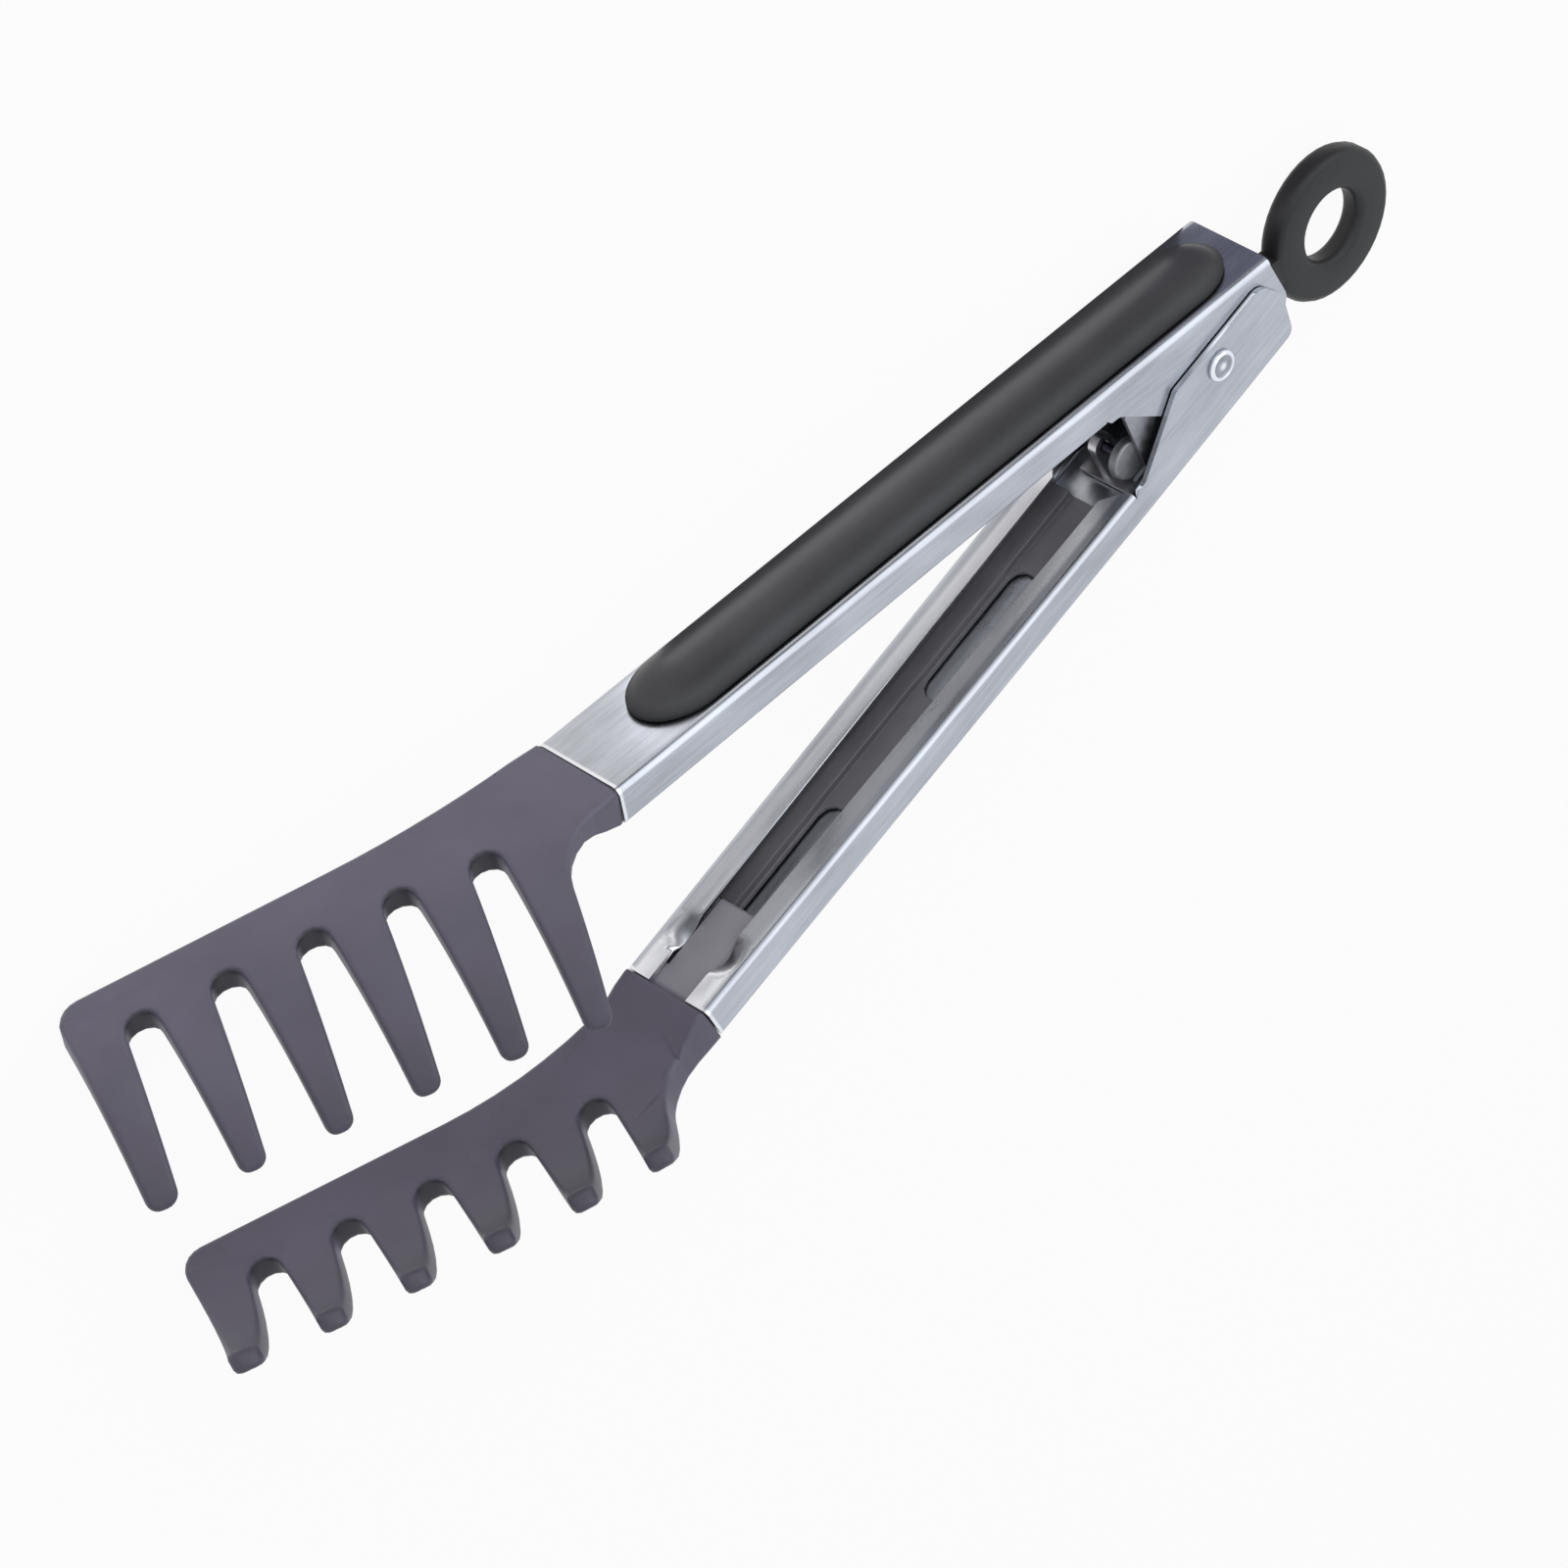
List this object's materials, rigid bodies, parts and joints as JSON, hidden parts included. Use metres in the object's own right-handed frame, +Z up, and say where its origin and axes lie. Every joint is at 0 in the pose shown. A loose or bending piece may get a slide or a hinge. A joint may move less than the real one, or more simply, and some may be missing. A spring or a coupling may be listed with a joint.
{
  "type": "locking pasta tongs",
  "caption": "Spring-loaded serving tongs: channel-section steel arms on a rivet, soft grips, curved nylon combs, and a sliding pull-ring lock at the hinge end.",
  "frame": {"origin": "centre of the footprint on the surface that the open tongs lie on, the combs' spine corners and the hinge end touching it", "axes": "+X from the pull ring toward the combs, +Y from the inner arm to the outer arm, +Z up from the surface; the hinge leans back from +Z by about 6 degrees"},
  "size_m": [0.2552, 0.065, 0.0542],
  "materials": {
    "steel": "brushed along the arms, bright at the bends",
    "pins": "bright plated pins",
    "spring_steel": "drawn spring wire",
    "zinc": "dull zinc-plated sheet",
    "soft_grip": "matt black soft-touch pad",
    "core_plastic": "dark grey moulded plastic",
    "nylon": "grey nylon with a faint purple cast and fine pits",
    "ring_plastic": "matt black moulded ring"
  },
  "bodies": {
    "inner_side": {"inner_arm": "steel", "inner_grip": "soft_grip", "inner_grip_core": "core_plastic", "inner_comb": "nylon", "hinge_rivet": "steel", "spacer_bush": "zinc", "torsion_spring": "spring_steel"},
    "outer_side": {"outer_arm": "steel", "outer_grip": "soft_grip", "outer_grip_core": "core_plastic", "outer_comb": "nylon", "stop_bracket": "zinc", "stop_pin": "pins", "near_roller": "zinc", "far_roller": "zinc"},
    "lock": {"lock_carrier": "zinc", "pull_ring": "ring_plastic", "ring_pin": "pins"}
  },
  "joints": [
    {"name": "arm_hinge", "type": "hinge", "parent": "inner_side", "child": "outer_side", "pos_m": [-0.08155, 0, 0.01099], "axis": [-0.1121, 0, 0.9937], "range_deg": [-9.5, 0], "stiffness_Nm_per_rad": 0.6, "springref_deg": 20.05, "deforming": ["torsion_spring"]},
    {"name": "lock_slide", "type": "slide", "parent": "inner_side", "child": "lock", "axis": [-0.9823, 0.1513, -0.1109], "range_m": [0, 0.004]}
  ]
}
